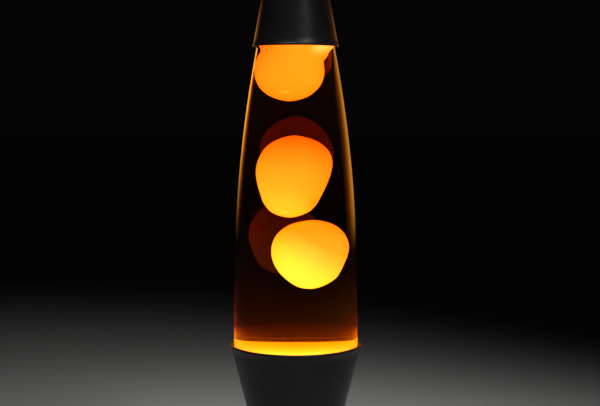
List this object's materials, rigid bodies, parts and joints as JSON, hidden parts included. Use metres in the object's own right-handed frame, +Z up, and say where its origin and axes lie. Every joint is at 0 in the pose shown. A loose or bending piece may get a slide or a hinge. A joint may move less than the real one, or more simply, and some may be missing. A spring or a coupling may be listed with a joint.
{
  "type": "lava lamp",
  "caption": "Wax lamp: a tapered glass globe of dark liquid and glowing wax stands in a waisted metal base with a screw-in bulb, under a loose metal cap.",
  "frame": {"origin": "centre of the plane that the rubber feet rest on, on the lamp's axis", "axes": "+Z up along the lamp's axis; +Y towards the back, where the cord passage is; +X to the right"},
  "size_m": [0.118, 0.118, 0.404],
  "materials": {
    "black_paint": "satin",
    "dark_steel": "satin",
    "bright_steel": "satin",
    "brass": "satin",
    "rubber": "matte",
    "phenolic": "satin",
    "bottle_glass": "polished",
    "lamp_glass": "gloss",
    "tinted_liquid": "polished",
    "orange_wax": "satin",
    "yellow_wax": "satin"
  },
  "bodies": {
    "base": {"base_shell": "black_paint", "bottom_plate": "dark_steel", "cord_grommet": "rubber", "rubber_foot_1": "rubber", "rubber_foot_2": "rubber", "rubber_foot_3": "rubber", "rubber_foot_4": "rubber", "bottom_screw_1": "bright_steel", "bottom_screw_2": "bright_steel", "bottom_screw_3": "bright_steel", "bottom_screw_4": "bright_steel", "socket_bracket": "dark_steel", "mounting_bolt": "bright_steel", "mounting_washer": "bright_steel", "mounting_nut": "bright_steel", "socket_housing": "phenolic", "socket_screw_shell": "brass", "socket_center_contact": "brass", "bracket_screw_1": "bright_steel", "bracket_screw_2": "bright_steel", "terminal_screw_1": "brass", "terminal_screw_2": "brass"},
    "bulb": {"bulb_envelope": "lamp_glass", "bulb_screw_cap": "bright_steel", "bulb_insulator": "phenolic", "bulb_contact_tip": "bright_steel", "bulb_stem": "lamp_glass", "bulb_lead_1": "bright_steel", "bulb_lead_2": "bright_steel", "bulb_filament": "dark_steel"},
    "globe": {"glass_bottle": "bottle_glass", "liquid": "tinted_liquid", "wax_pool": "yellow_wax", "wax_top": "orange_wax", "coil_spring": "bright_steel", "crown_cap": "bright_steel", "crown_liner": "rubber"},
    "cap": {"top_cap": "black_paint"},
    "middle_wax": {"wax_blob_middle": "orange_wax"},
    "lower_wax": {"wax_blob_lower": "yellow_wax"}
  },
  "joints": [
    {"name": "globe_lift", "type": "slide", "parent": "base", "child": "globe", "axis": [0, 0, 1], "range_m": [0, 0.06]},
    {"name": "cap_lift", "type": "slide", "parent": "globe", "child": "cap", "axis": [0, 0, 1], "range_m": [0, 0.06]},
    {"name": "bulb_unscrew", "type": "slide", "parent": "base", "child": "bulb", "axis": [0, 0, 1], "range_m": [0, 0.012]},
    {"name": "middle_wax_drift", "type": "slide", "parent": "globe", "child": "middle_wax", "axis": [0, 0, 1], "range_m": [0, 0.022], "deforming": ["liquid"]},
    {"name": "lower_wax_drift", "type": "slide", "parent": "globe", "child": "lower_wax", "axis": [0, 0, 1], "range_m": [-0.038, 0], "deforming": ["liquid"]}
  ]
}
